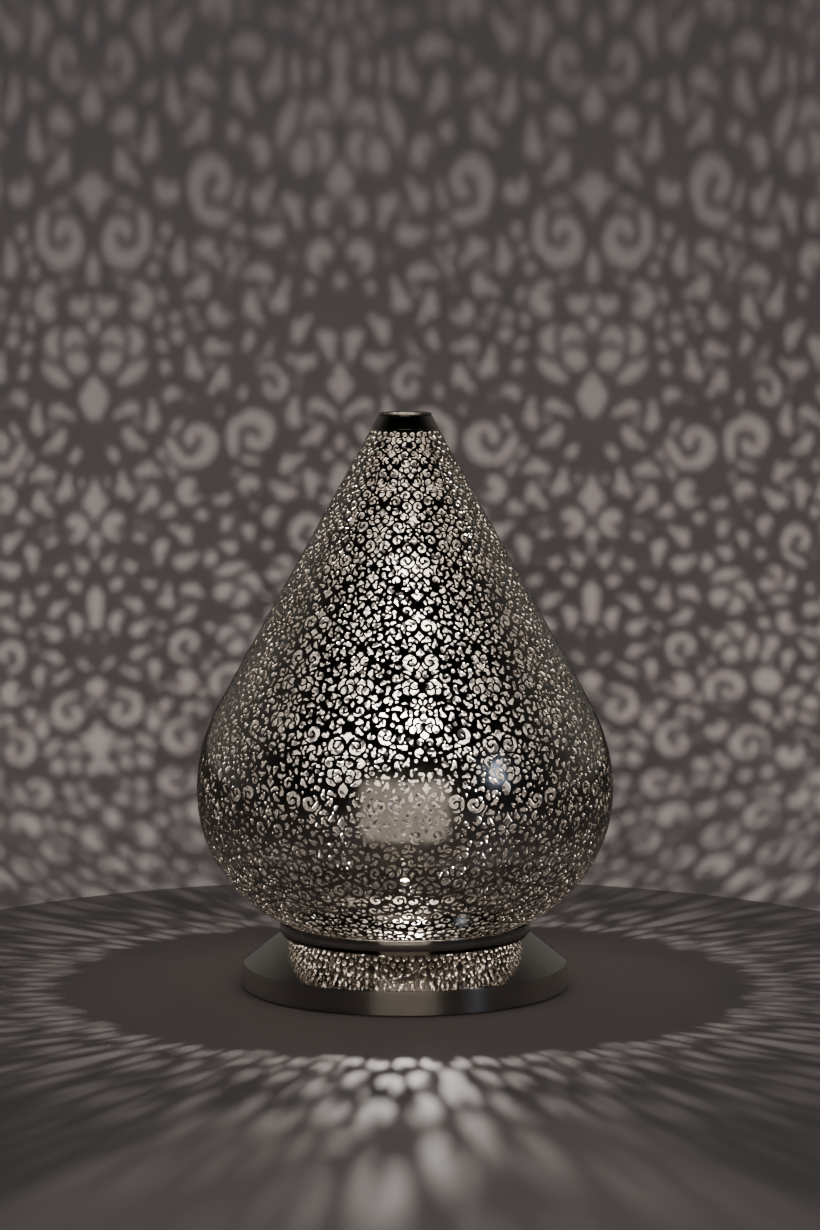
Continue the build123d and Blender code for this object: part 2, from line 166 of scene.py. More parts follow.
def gap_to(across, down):
    """Distance on the metal from every packing point to one place."""
    scale = np.sqrt(pack_radius * radius_at(down))
    return scale * np.hypot(pack_across - across, pack_down - down)


def strand(way):
    return float(np.interp(way, PLACES, STRAND_HALF))


def stroke(points, halves):
    """One strand: its centre line on the map, and half its width at each point, in mm."""
    strokes.append((np.array(points, float), np.array(halves, float)))


def long_line(points, half):
    """A strand that the scrolls are packed against."""
    nearest = np.full(room.shape, 1e9)
    for across, down in points:
        nearest = np.minimum(nearest, gap_to(across, down))
    keep_off(nearest)
    lines.append(points)
    stroke(points, [half] * len(points))


def ogee(height_a, share_a, height_b, share_b, half):
    """An S-shaped line between two mirror axes, upright where it meets them."""
    start, end = down_at_height(height_a), down_at_height(height_b)
    points = []
    for t in np.linspace(0, 1, 61):
        share = share_a + (share_b - share_a) * (1 - math.cos(math.pi * t)) / 2
        points.append((share * HALF, start + (end - start) * t))
    long_line(points, half)


def medallion(height_top, height_bottom, half_width, half):
    """One side of a pair of brackets about the middle axis."""
    start, end = down_at_height(height_top), down_at_height(height_bottom)
    points = []
    for t in np.linspace(0, 1, 81):
        down = start + (end - start) * t
        points.append((half_width * math.sin(math.pi * t) ** 0.62 / radius_at(down), down))
    long_line(points, half)


def polar(across, down, distance, angle):
    """The place at a distance and an angle from another, on the map."""
    radius = float(radius_at(down))
    return (across + distance / radius * math.cos(angle), down + distance / radius * math.sin(angle))


def hoop(share, height, size, half):
    across, down = share * HALF, down_at_height(height)
    long_line([polar(across, down, size, a) for a in np.linspace(0, 2 * math.pi, 81)], half)


def add_scroll(across, down, size):
    """Keep a round place for a scroll, and note which one it touches first."""
    scale = radius_at(down)
    touching = sorted(
        (scale * math.hypot(across - s[0], down - s[1]) - s[2] - size, i) for i, s in enumerate(scrolls)
    )
    parent = touching[0][1] if touching and touching[0][0] < 1.2 else None
    scrolls.append((across, down, size, parent))
    keep_off(gap_to(across, down) - size)


def pack_scrolls():
    """Set the largest scrolls first, each where it nestles against two neighbours."""
    largest = np.interp(pack_way, PLACES, SCROLL_SIZES)
    for step in SIZE_STEPS:
        wanted = np.maximum(largest * step, SMALLEST)
        while (room >= wanted).any():
            fit = np.where(room >= wanted, second_room + 0.5 * np.abs(room - wanted), 1e9)
            j = np.unravel_index(np.argmin(fit), fit.shape)
            add_scroll(pack_across[j], pack_down[j], float(min(room[j], largest[j])))


# Heights where the long lines meet on the middle axis and on the side axis.
MIDDLE_NODES = (436, 408, 371, 316, 257, 200, 140, 98, 70)
SIDE_NODES = (424, 391, 345, 286, 228, 172, 118, 84, 60)


def ring_of(across, down, size, start, half, swell):
    """A ring that is thickest at its start, by a share, swell, of its half width."""
    turn = np.linspace(0, 2 * math.pi, 37)
    stroke(
        [polar(across, down, size, start + a) for a in turn],
        [half * (1 + swell * math.cos(a)) for a in turn],
    )


def clear_ring(share, height, size, half):
    """A plain ring whose inside stays open, in front of the lamp."""
    across, down = share * HALF, down_at_height(height)
    ring_of(across, down, size, 0, half, 0)
    keep_off(gap_to(across, down) - size)


def long_lines():
    keep_off(pack_radius * pack_across)
    keep_off(pack_radius * (HALF - pack_across))
    for k in range(4):
        half = 0.70 + 0.06 * k
        ogee(MIDDLE_NODES[k], 0, SIDE_NODES[k], 1, half)
        ogee(SIDE_NODES[k], 1, MIDDLE_NODES[k + 1], 0, half)
    ogee(257, 0, 228, 1, 0.9)
    ogee(228, 1, 200, 0, 0.9)
    medallion(203, 137, 30.5, 0.95)
    hoop(0.73, 168, 17.3, 0.9)
    ogee(137, 0, 112, 1, 0.9)
    ogee(112, 1, 92, 0, 0.85)
    ogee(92, 0, 74, 1, 0.8)
    ogee(74, 1, 62, 0, 0.72)
    clear_ring(0.258, 110, 4.6, 0.8)


def knob(across, down, size):
    stroke([(across, down)] * 2, [size] * 2)


def thorn(across, down, away, angle, lean, length, half):
    """A pointed leaf that grows outwards from a place at a distance and angle, leaning over."""
    stroke([
        polar(across, down, away, angle),
        polar(across, down, away + 0.6 * length, angle + 0.4 * lean),
        polar(across, down, away + length, angle + lean),
    ], [half * 1.3, half * 0.95, 0.2])


def comma(across, down, size, start, hand, half):
    """A ring with a short stem inside it that hooks round to a bud."""
    ring_of(across, down, size, start, half * 0.95, 0.2)
    steps = np.linspace(0, 1, 9)
    hook = [polar(across, down, size * (1 - 0.72 * t), start + hand * 2.2 * t) for t in steps]
    stroke(hook, [half * (1.15 - 0.1 * t) for t in steps])
    knob(*hook[-1], 0.21 * size)


def curl(across, down, size, start, hand, half):
    """A ring with a stem that curls inside it to a knob, and pointed lobes along the stem."""
    ring_of(across, down, size, start, half * 0.95, 0.2)
    turn = 2.1 * math.pi
    steps = np.linspace(0, 1, 29)
    away = size * (0.16 + 0.84 * np.exp(-2.1 * steps) - 0.06 * steps)
    stem = [polar(across, down, r, start + hand * turn * t) for r, t in zip(away, steps)]
    stroke(stem, [half * (1.15 - 0.15 * t) for t in steps])
    knob(*stem[-1], 0.15 * size)
    for t, length in ((0.20, 0.20), (0.40, 0.24), (0.62, 0.22)):
        from_stem = size * (0.16 + 0.84 * math.exp(-2.1 * t) - 0.06 * t)
        thorn(across, down, from_stem, start + hand * turn * t, hand * 0.42, length * size, half * 0.8)
    for lag in (2.6, 4.6):
        thorn(across, down, size * 0.98, start + hand * lag, hand * 0.2, -0.20 * size, half * 0.8)


def sprig(across, down, size, start, hand, half):
    """A ring with a stem that hooks in to an eye, and three leaves from the eye to the ring."""
    ring_of(across, down, size, start, half * 0.95, 0.2)
    steps = np.linspace(0, 1, 9)
    stem = [polar(across, down, size * (1 - 0.78 * t), start + hand * 1.3 * t) for t in steps]
    stroke(stem, [half * (1.15 - 0.15 * t) for t in steps])
    knob(*stem[-1], 0.15 * size)
    for k in range(3):
        root = start + hand * (2.0 + 1.45 * k)
        blade = [
            polar(across, down, size * (0.14 + 0.84 * t), root + hand * 1.1 * t * t)
            for t in (0, 0.3, 0.6, 0.85, 1)
        ]
        stroke(blade, [half * w for w in (0.7, 1.0, 0.95, 0.65, 0.5)])


def wheel(across, down, size, start, hand, half):
    """A ring with three full leaves that sweep in round an eye."""
    ring_of(across, down, size, start, half, 0)
    sweep = 3.4 / WHEEL_LEAVES
    for k in range(WHEEL_LEAVES):
        angle = start + k * 2 * math.pi / WHEEL_LEAVES
        blade = [
            polar(across, down, size * (1 - 0.68 * t), angle + hand * sweep * t)
            for t in (0, 0.25, 0.5, 0.75, 1)
        ]
        stroke(blade, [half * w for w in (0.9, 1.3, 1.75, 1.5, 0.9)])
        thorn(across, down, size * 0.98, angle + hand * 1.1 * sweep, hand * 0.28, -0.28 * size, half * 0.85)
        thorn(across, down, size * 0.62, angle + hand * 0.5 * sweep, -hand * 0.9, 0.18 * size, half * 0.8)
    stroke([polar(across, down, 0.24 * size, a) for a in np.linspace(0, 2 * math.pi, 13)], [half * 0.85] * 13)


def drop(across, down, size, start, half):
    """A small ring drawn out to a point on one side."""
    turn = np.linspace(0, 2 * math.pi, 25)
    points = [polar(across, down, size * (0.88 + 0.30 * max(0, math.cos(a)) ** 5), start + a) for a in turn]
    stroke(points, [half * (1 - 0.2 * math.cos(a)) for a in turn])


def bud(share, height):
    """A solid pointed leaf, upright on an axis, with a pair of leaflets."""
    across, down = share * HALF, down_at_height(height)
    radius = float(radius_at(down))
    length = min(9, 0.035 * radius + 4.2) / radius
    stroke([(across, down + length * (t - 0.5)) for t in (0, 0.2, 0.45, 0.7, 1)], [0.3, 1.4, 1.9, 1.3, 0.3])
    for side in (-1, 1):
        root = down + 0.1 * length
        stroke([(across, root), (across + side * 0.30 * length, root - 0.12 * length),
                (across + side * 0.52 * length, root - 0.42 * length)], [0.9, 0.8, 0.2])


def free_room(across, down):
    """Room left after packing at a place on the map, in mm."""
    row = int(np.clip(round(down / way_down[-1] * (PACK_DOWN - 1)), 0, PACK_DOWN - 1))
    column = int(round(abs(across) / HALF * (PACK_ACROSS - 1)))
    return float(room[row, column]) if column < PACK_ACROSS else 0.0


def outer_thorns(across, down, size, hand, half):
    """Thorns on the outside of a ring, where the gap to its neighbours lets them grow."""
    for k in range(12):
        angle = k * math.pi / 6
        space = free_room(*polar(across, down, size + 1.5, angle))
        if space > 1.3:
            thorn(across, down, size, angle, hand * 0.25, min(0.9 + space, 0.45 * size), half * 0.8)


def line_leaves(points, half):
    """Pointed leaves on both sides of a long line, wherever there is room."""
    side = 1
    for i in range(3, len(points) - 4, 5):
        (a0, d0), (a1, d1) = points[i], points[i + 2]
        along = math.atan2(d1 - d0, a1 - a0)
        for turn in (side * 0.75, -side * 0.75):
            tip = polar(a0, d0, 3.2, along + turn)
            if free_room(*tip) > 1.2:
                waist = polar(a0, d0, 1.9, along + 0.8 * turn)
                end = polar(a0, d0, 3.6, along + 1.2 * turn)
                stroke([(a0, d0), waist, end], [half * 1.25, half * 1.0, 0.2])
        side = -side


def draw_scrolls():
    hands = []
    for i, (across, down, size, parent) in enumerate(scrolls):
        half = strand(way_at(down))
        if parent is None:
            start, hand = (math.pi if across < HALF / 2 else 0.0) + 0.6, 1 if i % 2 else -1
        else:
            other = scrolls[parent]
            start, hand = math.atan2(other[1] - down, other[0] - across), -hands[parent]
        hands.append(hand)
        if size >= WHEEL_FROM and i % 3 < 2:
            wheel(across, down, size, start, hand, half)
        elif size >= SPRIG_FROM and i % 2:
            sprig(across, down, size, start, hand, half)
        elif size >= CURL_FROM:
            curl(across, down, size, start, hand, half)
        elif size >= COMMA_FROM:
            comma(across, down, size, start, hand, half)
        else:
            drop(across, down, size, start, half)
        outer_thorns(across, down, size, hand, half)


def tie_scrolls():
    """Short bridges of metal where rings nearly touch each other or a mirror axis."""
    reach = 1.5
    for i, (across, down, size, _) in enumerate(scrolls):
        half = strand(way_at(down)) * 1.15
        radius = float(radius_at(down))
        for other_across, other_down, other_size, _ in scrolls[:i]:
            gap = radius * math.hypot(across - other_across, down - other_down) - size - other_size
            if gap < reach:
                angle = math.atan2(other_down - down, other_across - across)
                near = polar(across, down, size - 0.2, angle)
                far = polar(other_across, other_down, other_size - 0.2, angle + math.pi)
                stroke([near, far], [half] * 2)
        if radius * across - size < reach:
            stroke([polar(across, down, size, math.pi), (0, down)], [half] * 2)
        if radius * (HALF - across) - size < reach:
            stroke([polar(across, down, size, 0), (HALF, down)], [half] * 2)


# ---- The pierced sheet -------------------------------------------------------------------------
# Cells are about 1.2 mm at the belly and finer where the strands are, and the openings'
# edges are cut through them. A patch of metal under SCRAP_FACES cells is a crumb.
CELLS_ACROSS = 52
CELLS_DOWN = 404
SCRAP_FACES = 12
grid_across = np.linspace(0, HALF, CELLS_ACROSS + 1)
fineness = np.concatenate([[0], np.cumsum(np.diff(ways) / np.interp(ways[1:], PLACES, STRAND_HALF))])
grid_way = np.interp(np.linspace(0, fineness[-1], CELLS_DOWN + 1), fineness, ways)
grid_down = down_at_way(grid_way)


def press(depth, points, halves):
    """Lower depth, the distance outside the nearest strand, to this strand's."""
    for a, b, half_a, half_b in zip(points[:-1], points[1:], halves[:-1], halves[1:]):
        middle = (a + b) / 2
        radius = float(radius_at(middle[1]))
        reach = (math.hypot(*(b - a)) / 2 * radius + max(half_a, half_b) + 2.5) / radius * 1.1
        rows = slice(*np.searchsorted(grid_down, (middle[1] - reach, middle[1] + reach)))
        columns = slice(*np.searchsorted(grid_across, (middle[0] - reach, middle[0] + reach)))
        if rows.start == rows.stop or columns.start == columns.stop:
            continue
        across, down = np.meshgrid(grid_across[columns], grid_down[rows])
        run = b - a
        t = np.clip(((across - a[0]) * run[0] + (down - a[1]) * run[1]) / (run @ run + 1e-18), 0, 1)
        off = np.hypot(across - a[0] - t * run[0], down - a[1] - t * run[1]) * radius_at(down)
        depth[rows, columns] = np.minimum(depth[rows, columns], off - half_a - (half_b - half_a) * t)


def pattern_depth():
    """Distance of each grid point outside the metal, below zero inside it."""
    depth = np.full((CELLS_DOWN + 1, CELLS_ACROSS + 1), 9.0)
    near = 4.0
    for points, halves in strokes:
        press(depth, points, halves)
        radius = radius_at(points[:, 1])
        if (points[:, 0] * radius).min() < near:
            press(depth, points * (-1, 1), halves)
        if ((HALF - points[:, 0]) * radius).min() < near:
            press(depth, (2 * HALF, 0) + points * (-1, 1), halves)
    edge = np.minimum(grid_way - PLAIN_EDGE, SKIN_LENGTH - PLAIN_EDGE - grid_way)
    return fill_slivers(np.minimum(depth, edge[:, None]))


def fill_slivers(depth):
    """Openings too narrow for a saw blade stay metal."""
    seen = depth < 0
    for seed in zip(*np.nonzero(~seen)):
        if seen[seed]:
            continue
        seen[seed] = True
        opening, reached = [seed], 0
        while reached < len(opening):
            row, column = opening[reached]
            reached += 1
            for near in ((row - 1, column), (row + 1, column), (row, column - 1), (row, column + 1)):
                if 0 <= near[0] < depth.shape[0] and 0 <= near[1] < depth.shape[1] and not seen[near]:
                    seen[near] = True
                    opening.append(near)
        spots = tuple(np.array(opening).T)
        if depth[spots].max() < NARROWEST:
            depth[spots] = -0.1
    return depth


def place(across, way):
    radius, height = outline(way)
    return Vector((float(radius) * math.sin(across), -float(radius) * math.cos(across), float(height))) * MM


def pierced_half():
    """Half of one repeat, spun from the outline and cut along the openings' edges."""
    bm = bmesh.new()
    line = [bm.verts.new(place(0, way)) for way in grid_way]
    edges = [bm.edges.new(pair) for pair in zip(line[:-1], line[1:])]
    bmesh.ops.spin(bm, geom=line + edges, axis=(0, 0, 1), cent=(0, 0, 0), angle=HALF, steps=CELLS_ACROSS)
    depth = pattern_depth()
    rows_by_height = -np.array([outline(way)[1] for way in grid_way])
    values = {}
    for v in bm.verts:
        across = math.atan2(v.co.x, -v.co.y)
        row = int(np.abs(rows_by_height + v.co.z / MM).argmin())
        values[v] = float(depth[row, round(across / HALF * CELLS_ACROSS)]) or 1e-6
    cut = set()
    for e in list(bm.edges):
        a, b = e.verts
        if values[a] * values[b] < 0:
            share = min(max(values[a] / (values[a] - values[b]), 0.07), 0.93)
            _, new = bmesh.utils.edge_split(e, a, share)
            values[new] = 0.0
            cut.add(new)
    for f in list(bm.faces):
        split_face(f, cut, values)
    gone = [f for f in bm.faces if sum(values[v] for v in f.verts) > 0]
    bmesh.ops.delete(bm, geom=gone, context="FACES")
    bmesh.ops.delete(bm, geom=[v for v in bm.verts if not v.link_faces], context="VERTS")
    return bm


def split_face(face, cut, values):
    """Split a cell between its cut points, so that each side is all metal or all opening."""
    marks = [v for v in face.verts if v in cut]
    if len(marks) == 2:
        bmesh.utils.face_split(face, marks[0], marks[1])
    elif len(marks) == 4:
        ring = list(face.verts)
        first = next(i for i, v in enumerate(ring) if values[v] > 0)
        ring = ring[first:] + ring[:first]
        order = [v for v in ring if v in cut]
        rest, seam = bmesh.utils.face_split(face, order[-1], order[0])
        whole = rest if order[1] in rest.verts and order[2] in rest.verts else seam.face
        bmesh.utils.face_split(whole, order[1], order[2])


def drop_scraps(bm):
    """Take out crumbs of metal that hold on to nothing."""
    seen = set()
    scraps = []
    for first in list(bm.faces):
        if first in seen:
            continue
        seen.add(first)
        patch = [first]
        for face in patch:
            for edge in face.edges:
                for other in edge.link_faces:
                    if other not in seen:
                        seen.add(other)
                        patch.append(other)
        if len(patch) < SCRAP_FACES:
            scraps += patch
    bmesh.ops.delete(bm, geom=scraps, context="FACES")
    bmesh.ops.delete(bm, geom=[v for v in bm.verts if not v.link_faces], context="VERTS")


def piece_from(bm, name, body, *nodes, slot=None, sharp=35):
    """Make a bmesh a piece that rides on a body and stands for its CAD nodes."""
    mesh = bpy.data.meshes.new(name)
    bm.to_mesh(mesh)
    bm.free()
    mesh.polygons.foreach_set("use_smooth", [True] * len(mesh.polygons))
    mesh.set_sharp_from_angle(angle=math.radians(sharp))
    piece = bpy.data.objects.new(name, mesh)
    bpy.context.collection.objects.link(piece)
    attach(piece, body)
    if nodes:
        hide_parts(*nodes)
    return piece


def pierced_repeat():
    """One repeat: the half, its mirror image, and the sheet's thickness, bright side out."""
    bm = pierced_half()
    bmesh.ops.mirror(bm, geom=bm.verts[:] + bm.edges[:] + bm.faces[:], axis="X", merge_dist=1e-6)
    drop_scraps(bm)
    bmesh.ops.recalc_face_normals(bm, faces=bm.faces[:])
    if sum(f.normal.y for f in bm.faces) > 0:
        bmesh.ops.reverse_faces(bm, faces=bm.faces[:])
    bmesh.ops.solidify(bm, geom=bm.faces[:], thickness=SHEET * MM)
    bm.normal_update()
    for f in bm.faces:
        middle = f.calc_center_median()
        radial = Vector((middle.x, middle.y, 0)).normalized()
        f.material_index = 1 if f.normal.dot(radial) < -0.3 else 0
    return bm


def build_shade(outside, inside):
    """Eight repeats side by side make the whole shade."""
    first = pierced_repeat()
    for k in range(REPEATS):
        bm = first.copy()
        turn = Matrix.Rotation(math.radians(MIDDLE_TURN) + k * 2 * HALF, 4, "Z")
        bmesh.ops.transform(bm, matrix=turn, verts=bm.verts[:])
        repeat = piece_from(bm, f"shade_repeat_{k}", "shade", "pierced_shade", slot="plated_shade")
        repeat.data.materials.append(outside)
        repeat.data.materials.append(inside)
    first.free()


# ---- Turned parts -------------------------------------------------------------------------------
TURN_STEPS = 256
SKIRT_TOP = 19.9
CONE_SLOPE = math.radians(37.84)
FOOT_WALL = 1.2
FLANGE_BORE = 81.0
SKIRT_EASE = 0.45
INLET_REACH = 3.9
INLET_HALF_WIDTH = 3.3


def turned(name, body, node, slot, section, material, corner=0.0, steps=TURN_STEPS, sharp=35):
    """Spin a closed section, radius and height in mm, round the axis, its corners eased."""
    bm = bmesh.new()
    ring = [bm.verts.new((r * MM, 0, z * MM)) for r, z in section]
    face = bm.faces.new(ring)
    if corner:
        bmesh.ops.bevel(bm, geom=ring, offset=corner * MM, segments=4, affect="VERTICES", profile=0.5,
                        material=-1)
        face = bm.faces[:][0]
    bmesh.ops.delete(bm, geom=[face], context="FACES_ONLY")
    bmesh.ops.spin(
        bm, geom=bm.verts[:] + bm.edges[:], axis=(0, 0, 1), cent=(0, 0, 0), angle=2 * math.pi,
        steps=steps, use_merge=True,
    )
    bmesh.ops.recalc_face_normals(bm, faces=bm.faces[:])
    piece = piece_from(bm, name, body, node, slot=slot, sharp=sharp)
    piece.data.materials.append(material)
    return piece


def build_foot(material):
    """Spun foot: a straight skirt, a mirror cone, and the flange under the deck."""
    low, high = corners("foot")
    radius, top = high[0], high[2]
    rise = math.tan(CONE_SLOPE)
    back = FOOT_WALL / math.cos(CONE_SLOPE)
    flange_under = top - FOOT_WALL
    cone_top = radius - (top - SKIRT_TOP) / rise
    inner_corner = SKIRT_TOP + FOOT_WALL * rise - back
    crest = radius - (flange_under - SKIRT_TOP + back) / rise
    bm = bmesh.new()
    section = [
        (radius, low[2]), (radius, SKIRT_TOP), (cone_top, top), (FLANGE_BORE, top),
        (FLANGE_BORE, flange_under), (crest, flange_under), (radius - FOOT_WALL, inner_corner),
        (radius - FOOT_WALL, low[2]),
    ]
    ring = [bm.verts.new((r * MM, 0, z * MM)) for r, z in section]
    bm.faces.new(ring)
    bmesh.ops.bevel(bm, geom=[ring[1]], offset=SKIRT_EASE * MM, segments=5, affect="VERTICES", profile=0.5,
                    material=-1)
    bmesh.ops.delete(bm, geom=bm.faces[:], context="FACES_ONLY")
    bmesh.ops.spin(
        bm, geom=bm.verts[:] + bm.edges[:], axis=(0, 0, 1), cent=(0, 0, 0), angle=2 * math.pi,
        steps=TURN_STEPS, use_merge=True,
    )
    cut_inlet_hole(bm, radius)
    bmesh.ops.recalc_face_normals(bm, faces=bm.faces[:])
    piece = piece_from(bm, "spun_foot", "base", "foot", slot="plated_foot")
    piece.data.materials.append(material)


def cut_inlet_hole(bm, radius):
    """Open the skirt behind the cord bush's flange, and close the cut's edges."""
    low, high = corners("inlet_bush")
    middle = (low[2] + high[2]) / 2
    for height in (middle - INLET_REACH, middle + INLET_REACH):
        bmesh.ops.bisect_plane(bm, geom=bm.verts[:] + bm.edges[:] + bm.faces[:], plane_co=(0, 0, height * MM),
                               plane_no=(0, 0, 1), dist=1e-7)
    window = [
        f for f in bm.faces
        if abs(f.calc_center_median().x) < INLET_HALF_WIDTH * MM
        and f.calc_center_median().y > (radius - 2) * MM
        and abs(f.calc_center_median().z - middle * MM) < INLET_REACH * MM
    ]
    bmesh.ops.delete(bm, geom=window, context="FACES")
    rims = [e for e in bm.edges if e.is_boundary]
    bmesh.ops.bridge_loops(bm, edges=rims)


# ---- Materials ----------------------------------------------------------------------------------
def linear(code):
    """An sRGB hex value as Blender's linear colour."""
    channels = [int(code[i:i + 2], 16) / 255 for i in (1, 3, 5)]
    return [c / 12.92 if c <= 0.04045 else ((c + 0.055) / 1.055) ** 2.4 for c in channels] + [1.0]


def add(tree, kind, inputs=None, **settings):
    """Add a node: its settings, then its inputs, each a value or another node's output."""
    node = tree.nodes.new(kind)
    for key, value in settings.items():
        setattr(node, key, value)
    for key, value in (inputs or {}).items():
        if isinstance(value, bpy.types.NodeSocket):
            tree.links.new(value, node.inputs[key])
        else:
            node.inputs[key].default_value = value
    return node


def start(name, **constants):
    """A new material with its shader, whose unchanging values go straight on its sockets."""
    material = bpy.data.materials.new(name)
    material.use_nodes = True
    tree = material.node_tree
    shader = tree.nodes["Principled BSDF"]
    for key, value in constants.items():
        shader.inputs[key.replace("_", " ")].default_value = value
    place = add(tree, "ShaderNodeTexCoord").outputs["Object"]
    return material, tree, shader, place


def per_mm(size):
    """Noise or wave scale that gives features of a size in mm on metre coordinates."""
    return 1000 / size


def plated_sheet():
    # Nickel-silver plate on brass sheet, planished and buffed before piercing: a grey mirror
    # slightly softened, with broad shallow dents and a little tarnish in slow random patches.
    material, tree, shader, place = start("plated_pierced_sheet", Metallic=1.0)
    tarnish = add(tree, "ShaderNodeTexNoise", {
        "Vector": place, "Scale": per_mm(26), "Detail": 5.0, "Roughness": 0.62})
    tone = add(tree, "ShaderNodeMix", {
        "Factor": add(tree, "ShaderNodeMapRange", {
            "Value": tarnish.outputs["Fac"], "From Min": 0.38, "From Max": 0.66}).outputs["Result"],
        "A": linear("#C6C3BD"), "B": linear("#A39E96")}, data_type="RGBA")
    tree.links.new(tone.outputs[2], shader.inputs["Base Color"])
    wiped = add(tree, "ShaderNodeTexNoise", {"Vector": place, "Scale": per_mm(7), "Detail": 6.0})
    rough = add(tree, "ShaderNodeMapRange", {
        "Value": wiped.outputs["Fac"], "From Min": 0.3, "From Max": 0.7, "To Min": 0.12, "To Max": 0.20})
    tree.links.new(rough.outputs["Result"], shader.inputs["Roughness"])
    dents = add(tree, "ShaderNodeTexNoise", {"Vector": place, "Scale": per_mm(14), "Detail": 1.0})
    grain = add(tree, "ShaderNodeTexNoise", {"Vector": place, "Scale": per_mm(0.9), "Detail": 3.0})
    bump = add(tree, "ShaderNodeBump", {"Height": dents.outputs["Fac"], "Strength": 0.35, "Distance": 0.0006})
    fine = add(tree, "ShaderNodeBump", {
        "Height": grain.outputs["Fac"], "Strength": 0.12, "Distance": 0.00004,
        "Normal": bump.outputs["Normal"]})
    tree.links.new(fine.outputs["Normal"], shader.inputs["Normal"])
    return material


def sheet_inside():
    # The same sheet's back, plated but never buffed: a dull, slightly tarnished silver that
    # spreads the lamp's light, so the openings shine.
    material, tree, shader, place = start("plated_sheet_back", Metallic=1.0)
    cloud = add(tree, "ShaderNodeTexNoise", {"Vector": place, "Scale": per_mm(18), "Detail": 4.0})
    tone = add(tree, "ShaderNodeMix", {
        "Factor": cloud.outputs["Fac"], "A": linear("#9D9891"), "B": linear("#79756F")}, data_type="RGBA")
    tree.links.new(tone.outputs[2], shader.inputs["Base Color"])
    rough = add(tree, "ShaderNodeMapRange", {"Value": cloud.outputs["Fac"], "To Min": 0.32, "To Max": 0.42})
    tree.links.new(rough.outputs["Result"], shader.inputs["Roughness"])
    grain = add(tree, "ShaderNodeTexNoise", {"Vector": place, "Scale": per_mm(1.5), "Detail": 2.0})
    bump = add(tree, "ShaderNodeBump", {"Height": grain.outputs["Fac"], "Strength": 0.3, "Distance": 0.0001})
    tree.links.new(bump.outputs["Normal"], shader.inputs["Normal"])
    return material


def lathe_lines(tree, place, spacing, strength, distance):
    """Bump of fine rings left by turning, spacing mm apart up and down and outwards."""
    parts = add(tree, "ShaderNodeSeparateXYZ", {"Vector": place})
    out = add(tree, "ShaderNodeVectorMath", {0: place, 1: (1.0, 1.0, 0.0)}, operation="MULTIPLY")
    radius = add(tree, "ShaderNodeVectorMath", {0: out.outputs["Vector"]}, operation="LENGTH")
    rings = add(tree, "ShaderNodeCombineXYZ", {"X": radius.outputs["Value"], "Z": parts.outputs["Z"]})
    noise = add(tree, "ShaderNodeTexNoise", {
        "Vector": rings.outputs["Vector"], "Scale": per_mm(spacing), "Detail": 3.0})
    bump = add(tree, "ShaderNodeBump", {
        "Height": noise.outputs["Fac"], "Strength": strength, "Distance": distance})
    return noise, bump


def spun_plate():
    # Nickel-plated spun brass: the cone is buffed to a mirror, and the skirt below its edge is
    # left satin with fine lines that run round it, which draw its reflections out upright.
    material, tree, shader, place = start(
        "plated_spun_foot", Metallic=1.0, Anisotropic=0.9, Anisotropic_Rotation=0.25)
    noise, bump = lathe_lines(tree, place, 0.45, 0.12, 0.00003)
    height = add(tree, "ShaderNodeSeparateXYZ", {"Vector": place}).outputs["Z"]
    satin = add(tree, "ShaderNodeMapRange", {"Value": height, "From Min": 0.0200, "From Max": 0.0193})
    smear = add(tree, "ShaderNodeTexNoise", {"Vector": place, "Scale": per_mm(22), "Detail": 5.0})
    mirror = add(tree, "ShaderNodeMapRange", {
        "Value": smear.outputs["Fac"], "From Min": 0.35, "From Max": 0.7, "To Min": 0.03, "To Max": 0.09})
    brushed = add(tree, "ShaderNodeMapRange", {"Value": noise.outputs["Fac"], "To Min": 0.30, "To Max": 0.40})
    rough = add(tree, "ShaderNodeMix", {
        "Factor": satin.outputs["Result"], "A": mirror.outputs["Result"], "B": brushed.outputs["Result"]})
    tree.links.new(rough.outputs[0], shader.inputs["Roughness"])
    tone = add(tree, "ShaderNodeMix", {
        "Factor": smear.outputs["Fac"], "A": linear("#D6D2CB"), "B": linear("#BBB6AE")}, data_type="RGBA")
    tree.links.new(tone.outputs[2], shader.inputs["Base Color"])
    tree.links.new(bump.outputs["Normal"], shader.inputs["Normal"])
    tangent = add(tree, "ShaderNodeTangent", direction_type="RADIAL", axis="Z")
    tree.links.new(tangent.outputs["Tangent"], shader.inputs["Tangent"])
    return material


def polished_trim():
    # Nickel-plated turned brass, buffed bright, with faint wiping marks.
    material, tree, shader, place = start("plated_polished_trim", Metallic=1.0)
    noise, bump = lathe_lines(tree, place, 0.6, 0.08, 0.00002)
    smear = add(tree, "ShaderNodeTexNoise", {"Vector": place, "Scale": per_mm(15), "Detail": 6.0})
    rough = add(tree, "ShaderNodeMapRange", {
        "Value": smear.outputs["Fac"], "From Min": 0.3, "From Max": 0.7, "To Min": 0.07, "To Max": 0.16})
    tree.links.new(rough.outputs["Result"], shader.inputs["Roughness"])
    tone = add(tree, "ShaderNodeMix", {
        "Factor": smear.outputs["Fac"], "A": linear("#B4B0AA"), "B": linear("#94908A")}, data_type="RGBA")
    tree.links.new(tone.outputs[2], shader.inputs["Base Color"])
    tree.links.new(bump.outputs["Normal"], shader.inputs["Normal"])
    return material


